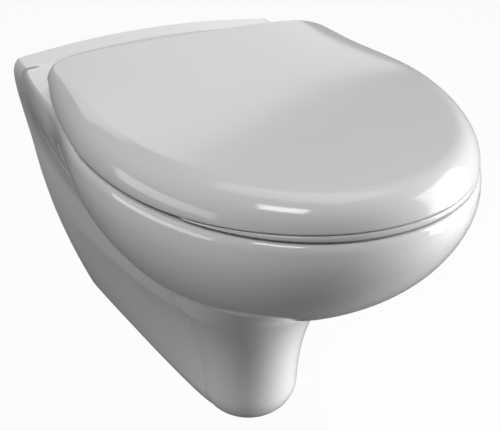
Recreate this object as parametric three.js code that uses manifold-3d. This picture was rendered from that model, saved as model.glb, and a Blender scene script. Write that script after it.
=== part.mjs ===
// Wall hung toilet: a hollow ceramic pan with a hinged seat ring and a hinged lid.
// Millimetres. +Z is up, the wall is the plane y = 0 and the pan reaches towards -Y.
// The origin is on the wall, halfway between the two wall studs.
import * as THREE from 'three';
import { ParametricGeometry } from 'three/addons/geometries/ParametricGeometry.js';
import { mergeVertices } from 'three/addons/utils/BufferGeometryUtils.js';
import Module from 'manifold-3d';

const wasm = await Module();
wasm.setup();

// Heights above the stud line
const RIM = 76;
const INLET_RISE = 35;
const OUTLET_DROP = 100;

// Pan outline at the rim, seen from above
const PAN_HALF_WIDTH = 184.5;
const PAN_REACH = 543.5;
const PAN_WIDEST = 288;
const PAN_FRONT_POWER = 2.1;
const PAN_NECK = 140;
const PAN_NECK_HALF_WIDTH = 167;
const PAN_WALL_HALF_WIDTH = 150;

// How the bowl falls away under the rim
const SHOULDER_DROP = 17.3;
const RIM_ROUND_IN = 5;
const RIM_ROUND_DROP = 10;
const BOWL_DROP = 165;
const BOWL_TOP_POWER = 1.61;
const BOWL_SIDE_POWER = 2.01;
const SKIN_BLEND = 19;

// Softer edges and joins of the outer skin towards the wall
const WALL_ROUND_IN = 16;
const WALL_ROUND_DROP = 17;
const WALL_ROUND_FROM = 70;
const WALL_BLEND = 50;
const WALL_BLEND_FROM = -0.1;
const WALL_BLEND_FULL = 0.5;

// Trunk under the bowl, and the two wings that widen from it to the wall
const SPINE = 230;
const TRUNK_HALF_WIDTH = 52;
const TRUNK_FLARE = 30;
const TRUNK_FLARE_RISE = 150;
const TRUNK_FLARE_POWER = 2.87;
const TRUNK_REACH = 266.5;
const WING_POWER = 0.6;
const WING_TOP_HALF_WIDTH = 152;
const WING_LOW_DROP = 277;
const WING_LOW_HALF_WIDTH = 96;
const WING_FALL_POWER = 2;
const PAN_DROP = 343;
const FOOT_ROUND = 38.5;

// Raised ledge across the back of the deck
const LEDGE_RISE = 8;
const LEDGE_FALL = 14;
const LEDGE_FALL_AT = 170;
const LEDGE_FRONT = 50;
const LEDGE_BACK = 31;
const LEDGE_FADE_DROP = 60;

// Ceramic thicknesses
const SKIN = 11;
const DECK = 13;
const BOWL_WALL = 10.5;

// Opening in the rim, the flushing groove behind its lip, and the bowl inside
const OPENING_HALF_WIDTH = 126;
const OPENING_BACK = 192;
const OPENING_FRONT = 500;
const LIP = 9;
const LIP_DROP = 45;
const GROOVE_WIDTH = 23;
const GROOVE_TOP = 15;
const GROOVE_SLOT = 7;
const SUMP_RADIUS = 32;
const SUMP_DROP = 188;
const SUMP_REACH = 257;
const BOWL_FALL_POWER = 2;
const BOWL_FALL_SIDE = 1.15;
const OVAL_POWER = 2.2;

// Water trap below the bowl and the outlet to the wall
const TRAP_RADIUS = 30;
const TRAP_WALL = 11;
const TRAP_BEND = 53;
const TRAP_DIP_DROP = 236;
const TRAP_WEIR_DROP = 172;
const OUTLET_RADIUS = 40;
const OUTLET_WALL = 11;
const OUTLET_RUN = 45;

// Water inlet
const INLET_RADIUS = 27.5;
const INLET_WALL = 9;
const INLET_DEPTH = 72;
const DUCT_RADIUS = 12;

// Bearing web behind the pan with the holes for the wall studs
const STUD_SPACING = 180;
const WEB_HEIGHT = 64;
const WEB_DEPTH = 28;
const RIB_WIDTH = 40;
const STUD_RADIUS = 6;
const STUD_LENGTH = 62;
const SLEEVE_WALL = 2.7;
const SLEEVE_FLANGE_RADIUS = 17;
const SLEEVE_FLANGE = 3;
const WASHER_RADIUS = 15;
const WASHER = 3;
const NUT_RADIUS = 11;
const NUT = 10;

// Lid, outline and heights above the rim
const LID_HALF_WIDTH = 181.5;
const LID_REACH = 543;
const LID_WIDEST = 287.6;
const LID_BACK = 110;
const LID_BACK_HALF_WIDTH = 156;
const LID_CORNER = 20;
const LID_FRONT_POWER = 2.09;
const LID_REAR_POWER = 1.5;
const LID_TOP = 38;
const LID_CROWN = 0.7;
const LID_WIDE_RISE = 7;
const LID_ROLL = 27;
const LID_BACK_ROLL = 10;
const LID_SIDE_FALL = 8;
const LID_FALL_POWER = 4;
const LID_FALL_FROM = 330;
const LID_THICK = 5;
const LID_SKIRT_RISE = 3;
const LID_FRONT_RISE = 10.5;
const LID_FRONT_FROM = 380;
const LID_FRONT_FULL = 560;
const LID_BACK_RISE = 26.3;
const LID_BACK_FROM = 165;
const LID_BACK_FULL = 134;
const LID_ROLL_FROM = 200;

// Seat ring
const OVAL_CENTRE = 345;
const SEAT_GAP = 3;
const LID_GAP = 1.3;
const SEAT_TOP = 20;
const SEAT_HOLE_HALF_WIDTH = 108;
const SEAT_HOLE_BACK = 214;
const SEAT_HOLE_FRONT = 488;
const SEAT_BACK = 139;
const SEAT_CORNER = 22;
const SEAT_SIDE_INSET = 7.5;
const SEAT_FRONT_INSET = 0.6;
const SEAT_TUCK = 8.8;
const SEAT_SHOW = 1.2;
const SEAT_RECESS = 7;
const SEAT_WALL = 7;

// Hinges
const HINGE_SPACING = 155;
const HINGE_SETBACK = 124;
const HINGE_RISE = 24;
const KNUCKLE_WIDTH = 14;
const KNUCKLE_RADIUS = 6.2;
const NECK_SETBACK = 144.5;
const NECK_DEPTH = 10;
const NECK_TOP = 29.6;
const NECK_ARM = 6.7;
const EYE_RADIUS = 5.7;
const EYE_WIDTH = 12;
const PIN_RADIUS = 3;
const SEAT_ARM_LENGTH = 28;
const HINGE_FOOT_WIDTH = 34;
const HINGE_FOOT_DEPTH = 25;
const HINGE_FOOT = 6.5;
const HINGE_GASKET = 1;
const HINGE_HOLE_RADIUS = 7;
const HINGE_BOLT_RADIUS = 4;
const HINGE_BOLT_DROP = 48;
const HINGE_BOLT_GRIP = 5;
const CONE_RADIUS = 13;
const CONE_HEIGHT = 9;
const WING_NUT_RADIUS = 8.5;
const WING_NUT_HEIGHT = 9;
const WING_SPAN = 42;
const WING_THICK = 3;

// Rubber buffers: how far across the ring from its hole, and the half turns round the ring
const BUFFER_LENGTH = 26;
const BUFFER_WIDTH = 11;
const BUFFER_ROUND = 1.2;
const BUFFER_PLACE = 0.34;
const BUFFER_TURNS = { front_right: -0.32, front_left: -0.68, back_right: 0.05, back_left: 0.95 };

// Clearances
const GAP = 0.3;
const HINGE_GAP = 0.4;
const PAST = 12;
const BEHIND_WALL = 90;

// Fineness of the curved skins
const PAN_AROUND = 72;
const PAN_ROWS = 20;
const TURN_WEIGHT = 45;
const CAVITY_AROUND = 32;
const CAVITY_ROWS = 9;
const BOWL_AROUND = 40;
const BOWL_ROWS = 9;
const LID_AROUND = 64;
const SEAT_AROUND = 60;
const TUBE_AROUND = 20;
const FINE_AROUND = 32;
const TRAP_STEPS = 20;
const ROUND_STEPS = 4;
const FINE_STEPS = 170;
const HALVINGS = 40;

const { PI, abs, asin, cos, hypot, max, min, sin, sqrt } = Math;
const lerp = THREE.MathUtils.lerp;
const smooth = (value, from, to) => THREE.MathUtils.smoothstep((value - from) / (to - from), 0, 1);
const clamp01 = (value) => THREE.MathUtils.clamp(value, 0, 1);
const power = (value, exponent) => max(0, value) ** exponent;

// One closed body from a stack of rings with the same number of points.
// The first and last rings are single points or the same ring.
function bodyFromRings(rings) {
  const around = rings[0].length;
  const last = rings.length - 1;
  const surface = (u, v, target) => {
    const ring = rings[Math.round(v * last)];
    target.copy(ring[Math.round(u * around) % around]);
  };
  return toSolid(new ParametricGeometry(surface, around, last));
}

function weld(geometry) {
  const plain = geometry.clone();
  plain.deleteAttribute('normal');
  plain.deleteAttribute('uv');
  return mergeVertices(plain, GAP / 100);
}

function toSolid(geometry) {
  const welded = weld(geometry);
  const position = welded.getAttribute('position');
  const index = welded.getIndex().array;
  const kept = [];
  let volume = 0;
  const [a, b, c] = [new THREE.Vector3(), new THREE.Vector3(), new THREE.Vector3()];
  for (let i = 0; i < index.length; i += 3) {
    const [p, q, r] = [index[i], index[i + 1], index[i + 2]];
    if (p === q || q === r || r === p) continue;
    kept.push(p, q, r);
    a.fromBufferAttribute(position, p);
    b.fromBufferAttribute(position, q);
    c.fromBufferAttribute(position, r);
    volume += a.dot(b.cross(c));
  }
  if (volume < 0) kept.reverse();
  const mesh = new wasm.Mesh({
    numProp: 3,
    vertProperties: new Float32Array(position.array),
    triVerts: new Uint32Array(kept),
  });
  return new wasm.Manifold(mesh);
}

function toGeometry(solid) {
  const mesh = solid.getMesh();
  const geometry = new THREE.BufferGeometry();
  geometry.setAttribute('position', new THREE.BufferAttribute(new Float32Array(mesh.vertProperties), 3));
  geometry.setIndex(new THREE.BufferAttribute(new Uint32Array(mesh.triVerts), 1));
  geometry.computeVertexNormals();
  return geometry;
}

const joined = (...solids) => solids.reduce((whole, solid) => whole.add(solid));
const cut = (whole, ...solids) => solids.reduce((rest, solid) => rest.subtract(solid), whole);

// Simple solids placed by their limits or their axis
function block(x0, x1, y0, y1, z0, z1) {
  const geometry = new THREE.BoxGeometry(x1 - x0, y1 - y0, z1 - z0);
  geometry.translate((x0 + x1) / 2, (y0 + y1) / 2, (z0 + z1) / 2);
  return toSolid(geometry);
}

function turned(profile, segments = TUBE_AROUND) {
  return new THREE.LatheGeometry(profile.map(([r, h]) => new THREE.Vector2(r, h)), segments);
}

// A lathe body whose axis runs along the given direction from a point
function spun(profile, from, direction, segments = TUBE_AROUND) {
  const geometry = turned(profile, segments);
  const turn = new THREE.Quaternion().setFromUnitVectors(new THREE.Vector3(0, 1, 0), direction);
  geometry.applyQuaternion(turn);
  geometry.translate(from.x, from.y, from.z);
  return toSolid(geometry);
}

const UP = new THREE.Vector3(0, 0, 1);
const FORWARD = new THREE.Vector3(0, -1, 0);
const ACROSS = new THREE.Vector3(1, 0, 0);

const rod = (radius, length) => [[0, 0], [radius, 0], [radius, length], [0, length]];
const ringOf = (inner, outer, length) =>
  [[inner, 0], [outer, 0], [outer, length], [inner, length], [inner, 0]];

// Distance from a centre to an outline in one direction, where inside(x, y) says what is within
function reachOf(inside, centreY, angle, limit) {
  let [near, far] = [0, limit];
  for (let step = 0; step < HALVINGS; step += 1) {
    const middle = (near + far) / 2;
    if (inside(middle * cos(angle), centreY + middle * sin(angle))) near = middle;
    else far = middle;
  }
  return near;
}

const egg = (y, half, reach, widest, frontPower) =>
  half * power(1 - power((abs(y) - widest) / (reach - widest), frontPower), 1 / frontPower);

// Half width of the pan's rim at a distance from the wall
function rimHalfWidth(y) {
  if (y < -PAN_WIDEST) return egg(y, PAN_HALF_WIDTH, PAN_REACH, PAN_WIDEST, PAN_FRONT_POWER);
  const waist = (PAN_HALF_WIDTH - PAN_NECK_HALF_WIDTH) * smooth(y, -PAN_WIDEST, -PAN_NECK);
  const atWall = (PAN_NECK_HALF_WIDTH - PAN_WALL_HALF_WIDTH) * clamp01(1 + y / PAN_NECK) ** 2;
  return PAN_HALF_WIDTH - waist - atWall;
}

// Half width of the trunk and wings at a depth below the rim
function trunkHalfWidth(y, drop) {
  const tuck = FOOT_ROUND - sqrt(max(0, FOOT_ROUND ** 2 - max(0, drop - PAN_DROP + FOOT_ROUND) ** 2));
  const up = clamp01((PAN_DROP - drop) / TRUNK_FLARE_RISE);
  const trunk = TRUNK_HALF_WIDTH + TRUNK_FLARE * power(up, TRUNK_FLARE_POWER) - tuck;
  const fall = (WING_TOP_HALF_WIDTH - WING_LOW_HALF_WIDTH) * power(drop / WING_LOW_DROP, WING_FALL_POWER);
  const wall = WING_TOP_HALF_WIDTH - fall - tuck;
  if (y < -TRUNK_REACH) return sqrt(max(0, trunk ** 2 - (y + TRUNK_REACH) ** 2));
  return trunk + (wall - trunk) * power(1 - clamp01(-y / TRUNK_REACH), WING_POWER);
}

function blendedMax(a, b, blend) {
  const near = max(0, 1 - abs(a - b) / blend);
  return max(a, b) + (blend * near * near) / 4;
}

const panLimit = PAN_REACH + SPINE;
const inPlan = (halfWidth) => (x, y) => y < BEHIND_WALL && abs(x) < halfWidth(y);

// Softness of the skin in one direction from the spine: none forwards, full towards the wall
const nearWall = (angle, rim) => smooth(rim * sin(angle) - SPINE, -WALL_ROUND_FROM, 0);
const roundIn = (angle, rim) => lerp(RIM_ROUND_IN, WALL_ROUND_IN, nearWall(angle, rim));
const roundDrop = (angle, rim) => lerp(RIM_ROUND_DROP, WALL_ROUND_DROP, nearWall(angle, rim));
const blendAt = (angle) =>
  lerp(SKIN_BLEND, WALL_BLEND, smooth(sin(angle), WALL_BLEND_FROM, WALL_BLEND_FULL));

// Distance from the upright spine line to the pan's outer skin
function skinReach(angle, rim, drop) {
  const fall = (drop - SHOULDER_DROP) / BOWL_DROP;
  const scale = power(1 - power(fall, BOWL_TOP_POWER), 1 / BOWL_SIDE_POWER);
  const trunk = reachOf(inPlan((y) => trunkHalfWidth(y, drop)), -SPINE, angle, panLimit);
  const edge = clamp01(1 - drop / roundDrop(angle, rim));
  return blendedMax(rim * scale, trunk, blendAt(angle)) - roundIn(angle, rim) * (1 - sqrt(1 - edge * edge));
}

// The ledge on the deck: highest at the wall in the middle, fading out to the corners
function ledgeRise(x, y) {
  const arch = LEDGE_RISE - LEDGE_FALL * (x / LEDGE_FALL_AT) ** 2;
  return arch * smooth(y, -LEDGE_FRONT, -LEDGE_BACK);
}

const polar = (reach, angle, centreY, z) =>
  new THREE.Vector3(reach * cos(angle), centreY + reach * sin(angle), z);

// Points along a finely sampled curve, closer together where the curve turns
function evenly(points, count) {
  const lengths = [0];
  for (let i = 1; i < points.length; i += 1) {
    const [before, here, after] = [points[max(0, i - 2)], points[i - 1], points[i]];
    const run = after.clone().sub(here);
    const turn = i > 1 ? run.angleTo(here.clone().sub(before)) : 0;
    lengths.push(lengths[i - 1] + run.length() + TURN_WEIGHT * turn);
  }
  const total = lengths[lengths.length - 1];
  const picked = [];
  let at = 1;
  for (let i = 0; i < count; i += 1) {
    const goal = (total * i) / (count - 1);
    while (at < lengths.length - 1 && lengths[at] < goal) at += 1;
    const between = (goal - lengths[at - 1]) / (lengths[at] - lengths[at - 1]);
    picked.push(points[at - 1].clone().lerp(points[at], between));
  }
  return picked;
}

const transpose = (columns) => columns[0].map((_, row) => columns.map((column) => column[row]));
const steps = (count) => Array.from({ length: count }, (_, i) => i / (count - 1));
const anglesOf = (around) => Array.from({ length: around }, (_, i) => (2 * PI * i) / around);

// Pan, outer skin
const rimReach = (angle) => reachOf(inPlan(rimHalfWidth), -SPINE, angle, panLimit);

function skinColumn(angle) {
  const rim = rimReach(angle);
  const rounded = roundDrop(angle, rim);
  const at = (reach, drop) => {
    const point = polar(reach, angle, -SPINE, RIM - drop);
    point.z += ledgeRise(point.x, point.y) * clamp01(1 - drop / LEDGE_FADE_DROP);
    return point;
  };
  const edge = skinReach(angle, rim, 0);
  const deck = steps(ROUND_STEPS + 1).map((part, i, all) => {
    const level = SPINE - lerp(LEDGE_FRONT, LEDGE_BACK, part);
    const tidy = edge * (1 - (GAP * (all.length - i)) / SPINE);
    return at(min(tidy, sin(angle) > 0 ? level / sin(angle) : tidy), 0);
  });
  const round = steps(ROUND_STEPS).map((part) => {
    const drop = rounded * part * part;
    return at(skinReach(angle, rim, drop), drop);
  });
  const fine = steps(FINE_STEPS).map((part) => {
    const drop = lerp(rounded, PAN_DROP, part);
    return at(skinReach(angle, rim, drop), drop);
  });
  return [at(0, 0), ...deck, ...round, ...evenly(fine, PAN_ROWS).slice(1), at(0, PAN_DROP)];
}

function cavityColumn(angle) {
  const rim = rimReach(angle);
  const fine = steps(FINE_STEPS).map((part) => {
    const drop = lerp(DECK, PAN_DROP - SKIN, part);
    const skin = skinReach(angle, rim, drop + SKIN / 2);
    return polar(max(SKIN, skin - SKIN), angle, -SPINE, RIM - drop);
  });
  const [top, bottom] = [RIM - DECK, RIM - PAN_DROP + SKIN];
  return [polar(0, 0, -SPINE, top), ...evenly(fine, CAVITY_ROWS), polar(0, 0, -SPINE, bottom)];
}

// Ovals of the rim opening and of the bowl at each depth
function ovalRing(halfWidth, back, front, z, outset, around = BOWL_AROUND) {
  const middle = (back + front) / 2;
  const length = (front - back) / 2 + outset;
  const width = halfWidth + outset;
  const bend = (value) => Math.sign(value) * power(abs(value), 2 / OVAL_POWER);
  return anglesOf(around).map((angle) =>
    new THREE.Vector3(width * bend(cos(angle)), -middle + length * bend(sin(angle)), z));
}

const pole = (ring) => {
  const centre = ring.reduce((sum, point) => sum.add(point), new THREE.Vector3()).divideScalar(ring.length);
  return ring.map(() => centre);
};
const capped = (rings) => [pole(rings[0]), ...rings, pole(rings[rings.length - 1])];

const openingRing = (drop, outset) =>
  ovalRing(OPENING_HALF_WIDTH, OPENING_BACK, OPENING_FRONT, RIM - drop, outset);
const openingBody = (fromDrop, toDrop, outset) =>
  bodyFromRings(capped([openingRing(fromDrop, outset), openingRing(toDrop, outset)]));

function bowlRing(part, outset) {
  const left = power(1 - power(part, BOWL_FALL_POWER), BOWL_FALL_SIDE);
  const edge = LIP + GROOVE_SLOT;
  const half = lerp(SUMP_RADIUS, OPENING_HALF_WIDTH + edge, left);
  const back = lerp(SUMP_REACH - SUMP_RADIUS, OPENING_BACK - edge, left);
  const front = lerp(SUMP_REACH + SUMP_RADIUS, OPENING_FRONT + edge, left);
  return ovalRing(half, back, front, RIM - lerp(LIP_DROP, SUMP_DROP, part), outset);
}

const bowlBody = (outset) =>
  bodyFromRings(capped(steps(BOWL_ROWS).map((part) => bowlRing(part, outset))));

// Path of the water trap: down, round the dip, up to the weir and out to the wall
function trapBody(radius) {
  const point = (y, drop) => new THREE.Vector3(0, y, RIM - drop);
  const path = new THREE.CurvePath();
  const down = -SUMP_REACH;
  const dip = down + TRAP_BEND;
  const rise = dip + TRAP_BEND;
  const weir = rise + TRAP_BEND;
  const straight = (a, b) => path.add(new THREE.LineCurve3(point(...a), point(...b)));
  const bent = (a, b, c, d) =>
    path.add(new THREE.CubicBezierCurve3(point(...a), point(...b), point(...c), point(...d)));
  const handle = (TRAP_BEND * 4 * (Math.SQRT2 - 1)) / 3;
  const outlet = RIM + OUTLET_DROP;
  const low = TRAP_DIP_DROP;
  const lowest = TRAP_DIP_DROP + TRAP_BEND;
  const high = TRAP_WEIR_DROP;
  const top = TRAP_WEIR_DROP + TRAP_BEND;
  const slope = (weir - OUTLET_RUN) / 2;
  straight([down, SUMP_DROP - PAST], [down, low]);
  bent([down, low], [down, low + handle], [dip - handle, lowest], [dip, lowest]);
  bent([dip, lowest], [dip + handle, lowest], [rise, low + handle], [rise, low]);
  straight([rise, low], [rise, top]);
  bent([rise, top], [rise, top - handle], [weir - handle, high], [weir, high]);
  bent([weir, high], [slope, high], [slope, outlet], [-OUTLET_RUN, outlet]);
  straight([-OUTLET_RUN, outlet], [PAST, outlet]);
  const circle = new THREE.Shape().absarc(0, 0, radius, 0, 2 * PI);
  const curveSegments = TUBE_AROUND / 2;
  const options = { steps: TRAP_STEPS, curveSegments, bevelEnabled: false, extrudePath: path };
  return toSolid(new THREE.ExtrudeGeometry(circle, options));
}

const place = (x, y, z) => new THREE.Vector3(x, y, z);
const sides = { left: -1, right: 1 };
const studX = (side) => (side * STUD_SPACING) / 2;
const hingeX = (side) => (side * HINGE_SPACING) / 2;

function makePan() {
  const skin = bodyFromRings(transpose(anglesOf(PAN_AROUND).map(skinColumn)));
  const hollow = bodyFromRings(transpose(anglesOf(CAVITY_AROUND).map(cavityColumn)));
  const inletZ = INLET_RISE;
  const ductZ = RIM - LIP_DROP + DUCT_RADIUS + GAP;
  const grooveBack = OPENING_BACK - LIP - GROOVE_WIDTH;
  const tubeFromWall = (radius, x, z, length) =>
    spun(rod(radius, length + PAST), place(x, PAST, z), FORWARD);
  const inlet = (wall) => joined(
    tubeFromWall(INLET_RADIUS + wall, 0, inletZ, INLET_DEPTH + wall),
    tubeFromWall(DUCT_RADIUS + wall, 0, ductZ, grooveBack + LIP),
  );
  const webEnd = PAN_HALF_WIDTH;
  const web = block(-webEnd, webEnd, -WEB_DEPTH, PAST, -WEB_HEIGHT / 2, WEB_HEIGHT / 2);
  const ribLow = OUTLET_RADIUS - OUTLET_DROP;
  const rib = block(-RIB_WIDTH / 2, RIB_WIDTH / 2, -WEB_DEPTH, PAST, ribLow, 0);
  const grooveOut = LIP + GROOVE_WIDTH;
  const rimBox = openingBody(0, LIP_DROP + BOWL_WALL, grooveOut + BOWL_WALL);
  const outlet = (wall) => tubeFromWall(OUTLET_RADIUS + wall, 0, -OUTLET_DROP, OUTLET_RUN + wall);
  const trapWalls = joined(trapBody(TRAP_RADIUS + TRAP_WALL), outlet(OUTLET_WALL));
  const hollows = cut(hollow, web, rib, rimBox, bowlBody(BOWL_WALL), trapWalls, inlet(INLET_WALL));
  const openHollows = hollows.decompose().filter((part) => part.boundingBox().max[1] > 0);
  const groove = cut(
    openingBody(GROOVE_TOP, LIP_DROP + GAP, grooveOut),
    openingBody(0, RIM, LIP),
  );
  const bored = [];
  Object.values(sides).forEach((side) => {
    bored.push(tubeFromWall(STUD_RADIUS + SLEEVE_WALL + 2 * GAP, studX(side), 0, WEB_DEPTH + PAST));
    const under = place(hingeX(side), -HINGE_SETBACK, RIM - DECK - PAST);
    bored.push(spun(rod(HINGE_HOLE_RADIUS, DECK + 2 * PAST), under, UP));
  });
  const behindWall = block(-PAN_REACH, PAN_REACH, 0, PAN_REACH, -PAN_REACH, PAN_REACH);
  const mouth = openingBody(-PAST, LIP_DROP + GAP, 0);
  const waterways = [mouth, groove, bowlBody(0), trapBody(TRAP_RADIUS), outlet(0), inlet(0)];
  return cut(skin, ...openHollows, ...waterways, ...bored, behindWall);
}

// Lid
function lidHalfWidth(y) {
  if (y < -LID_WIDEST) return egg(y, LID_HALF_WIDTH, LID_REACH, LID_WIDEST, LID_FRONT_POWER);
  const back = (y + LID_WIDEST) / (LID_WIDEST - LID_BACK);
  const into = max(0, y + LID_BACK + LID_CORNER);
  const corner = LID_CORNER - sqrt(max(0, LID_CORNER ** 2 - into ** 2));
  return LID_HALF_WIDTH - (LID_HALF_WIDTH - LID_BACK_HALF_WIDTH) * power(back, LID_REAR_POWER) - corner;
}

const inLid = (x, y) => y < -LID_BACK && abs(x) < lidHalfWidth(y);
const lidReach = (angle) => reachOf(inLid, -OVAL_CENTRE, angle, LID_REACH);

// Fall of the lid's top towards its two back corners
function lidFall(x, y) {
  const side = power(abs(x) / LID_BACK_HALF_WIDTH, LID_FALL_POWER);
  return LID_SIDE_FALL * side * smooth(y, -LID_FALL_FROM, -LID_BACK);
}

// Height of the lid's lower edge: lifted at the front over the seat and at the back over the hinges
function lidLow(reach, angle) {
  const [x, y] = [reach * cos(angle), -OVAL_CENTRE + reach * sin(angle)];
  const front = smooth(y, -LID_FRONT_FROM, -LID_FRONT_FULL) * (LID_FRONT_RISE - LID_SKIRT_RISE);
  const back = smooth(y, -LID_BACK_FROM, -LID_BACK_FULL) * (LID_BACK_RISE - LID_SKIRT_RISE - lidFall(x, y));
  return LID_SKIRT_RISE + front + back;
}

function lidColumn(angle) {
  const reach = lidReach(angle);
  const low = lidLow(reach, angle);
  const edgeY = -OVAL_CENTRE + reach * sin(angle);
  const roll = lerp(LID_ROLL, LID_BACK_ROLL, smooth(edgeY, -LID_ROLL_FROM, -LID_BACK));
  const at = (r, z, top) => {
    const point = polar(r, angle, -OVAL_CENTRE, RIM + z);
    const shaped = LID_CROWN * (1 - (r / reach) ** 2) - lidFall(point.x, point.y);
    point.z += shaped * clamp01((z - low) / (top - low));
    return point;
  };
  const shell = (inset, rollIn, top, count) => {
    const height = top - LID_WIDE_RISE;
    const lowest = asin(clamp01((max(low + LID_THICK / 3, LID_WIDE_RISE) - LID_WIDE_RISE) / height));
    return steps(count).map((part) => {
      const turn = lerp(PI / 2, lowest, part);
      return at(reach - inset - rollIn * (1 - cos(turn)), LID_WIDE_RISE + height * sin(turn), top);
    });
  };
  const ceiling = LID_TOP - LID_THICK;
  const outside = shell(0, roll, LID_TOP, 2 * ROUND_STEPS);
  const inside = shell(LID_THICK, roll - LID_THICK / 2, ceiling, ROUND_STEPS + 1).reverse();
  const belowWide = GAP * max(0, LID_WIDE_RISE - low);
  const outsideEdge = outside[outside.length - 1];
  const insideEdge = inside[0];
  const edgeReach = (point) => hypot(point.x, point.y + OVAL_CENTRE);
  const lip = [
    at(edgeReach(outsideEdge) - belowWide / 2, low, LID_TOP),
    at(edgeReach(insideEdge) + belowWide / 2, low, ceiling),
  ];
  const middle = (top) => [0, 1 / 3, 2 / 3].map((part) => at((reach - roll) * part, top, top));
  return [...middle(LID_TOP), ...outside, ...lip, ...inside, ...middle(ceiling).reverse()];
}

const axisZ = RIM + HINGE_RISE;
const lidEye = (side) => hingeX(side) - side * (KNUCKLE_WIDTH / 2 + HINGE_GAP + EYE_WIDTH / 2);
const seatEye = (side) => hingeX(side) + side * (KNUCKLE_WIDTH / 2 + HINGE_GAP + EYE_WIDTH / 2);
const eyeSolid = (x, radius) =>
  spun(rod(radius, EYE_WIDTH), place(x - EYE_WIDTH / 2, -HINGE_SETBACK, axisZ), ACROSS);
const pinHole = (x) => {
  const width = EYE_WIDTH + PAST;
  return spun(rod(PIN_RADIUS + GAP, width), place(x - width / 2, -HINGE_SETBACK, axisZ), ACROSS);
};

function makeLid() {
  let lid = bodyFromRings(transpose(anglesOf(LID_AROUND).map(lidColumn)));
  Object.values(sides).forEach((side) => {
    const x = lidEye(side);
    const half = EYE_WIDTH / 2;
    const ceiling = RIM + LID_TOP - LID_THICK / 2;
    const [front, back] = [-HINGE_SETBACK - EYE_RADIUS, -HINGE_SETBACK + EYE_RADIUS];
    const hanger = block(x - half, x + half, front, back, axisZ, ceiling);
    lid = cut(joined(lid, hanger, eyeSolid(x, EYE_RADIUS)), pinHole(x));
  });
  return lid;
}

// Seat ring
const seatHoleHalf = (SEAT_HOLE_FRONT - SEAT_HOLE_BACK) / 2;
const seatHoleMiddle = (SEAT_HOLE_FRONT + SEAT_HOLE_BACK) / 2;
const inSeatHole = (x, y) => {
  const across = power(abs(x) / SEAT_HOLE_HALF_WIDTH, OVAL_POWER);
  return across + power(abs(y + seatHoleMiddle) / seatHoleHalf, OVAL_POWER) < 1;
};

function seatColumn(angle) {
  const lid = lidReach(angle);
  const low = sin(angle) > 0 ? LID_SKIRT_RISE : lidLow(lid, angle);
  const shown = smooth(low, SEAT_GAP + SEAT_SHOW, SEAT_GAP + 2 * SEAT_SHOW);
  const out = lerp(SEAT_SIDE_INSET, SEAT_FRONT_INSET, shown);
  const toBack = sin(angle) > 0 ? (OVAL_CENTRE - SEAT_BACK) / sin(angle) : 2 * lid;
  const outer = -blendedMax(-lid, -toBack - out, SEAT_CORNER);
  const hole = reachOf(inSeatHole, -OVAL_CENTRE, angle, LID_REACH);
  const at = (part, inset, z) => polar(lerp(hole, outer, part) - inset, angle, -OVAL_CENTRE, RIM + z);
  const rise = (part) => lerp(SEAT_GAP, SEAT_TOP, part);
  const band = max(low - LID_GAP, SEAT_GAP + 4 * GAP);
  const deep = SEAT_GAP + SEAT_RECESS;
  return [
    at(1, out + GAP, SEAT_GAP),
    at(1, out, SEAT_GAP + GAP),
    at(1, out, band - 2 * GAP),
    at(1, out + 2 * GAP, band),
    at(1, SEAT_TUCK, band + GAP),
    at(1, SEAT_TUCK + SEAT_WALL / 2, rise(3 / 4)),
    at(1, 2 * SEAT_TUCK, rise(11 / 12)),
    at(1 / 2, 0, rise(1)),
    at(1 / 4, 0, rise(7 / 8)),
    at(1 / 16, 0, rise(5 / 8)),
    at(0, 0, rise(3 / 8)),
    at(0, 0, rise(1 / 8)),
    at(0, -GAP * 3, SEAT_GAP),
    at(0, -SEAT_WALL, SEAT_GAP),
    at(0, -SEAT_WALL - GAP, deep),
    at(1, SEAT_TUCK + SEAT_WALL, deep),
    at(1, out + SEAT_WALL, SEAT_GAP),
  ];
}

function makeSeat() {
  const columns = anglesOf(SEAT_AROUND).map(seatColumn);
  const rings = [...columns, columns[0]];
  let seat = bodyFromRings(rings);
  Object.values(sides).forEach((side) => {
    const slot = KNUCKLE_WIDTH / 2 + 2 * HINGE_GAP;
    const slotFront = -NECK_SETBACK - NECK_DEPTH / 2 - 4 * HINGE_GAP;
    const [near, far] = [hingeX(side) - slot, hingeX(side) + slot];
    seat = cut(seat, block(near, far, slotFront, 0, RIM, RIM + 2 * SEAT_TOP));
    const x = seatEye(side);
    const half = EYE_WIDTH / 2;
    const [low, high] = [axisZ - EYE_RADIUS, axisZ + EYE_RADIUS / 2];
    const arm = block(x - half, x + half, -HINGE_SETBACK - SEAT_ARM_LENGTH, -HINGE_SETBACK, low, high);
    seat = cut(joined(seat, arm, eyeSolid(x, EYE_RADIUS)), pinHole(x));
  });
  return seat;
}

// Hinges and their fixings through the deck
function plate(width, depth, thickness, hole, x, y, z) {
  const round = depth / 4;
  const [w, d] = [width / 2, depth / 2];
  const shape = new THREE.Shape();
  shape.absarc(w - round, d - round, round, 0, PI / 2);
  shape.absarc(round - w, d - round, round, PI / 2, PI);
  shape.absarc(round - w, round - d, round, PI, PI * 1.5);
  shape.absarc(w - round, round - d, round, PI * 1.5, 2 * PI);
  shape.closePath();
  const options = { depth: thickness, bevelEnabled: false, curveSegments: ROUND_STEPS / 2 };
  const geometry = new THREE.ExtrudeGeometry(shape, options);
  geometry.translate(x, y, z);
  return cut(toSolid(geometry), spun(rod(hole, 3 * thickness), place(x, y, z - thickness), UP));
}

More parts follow.
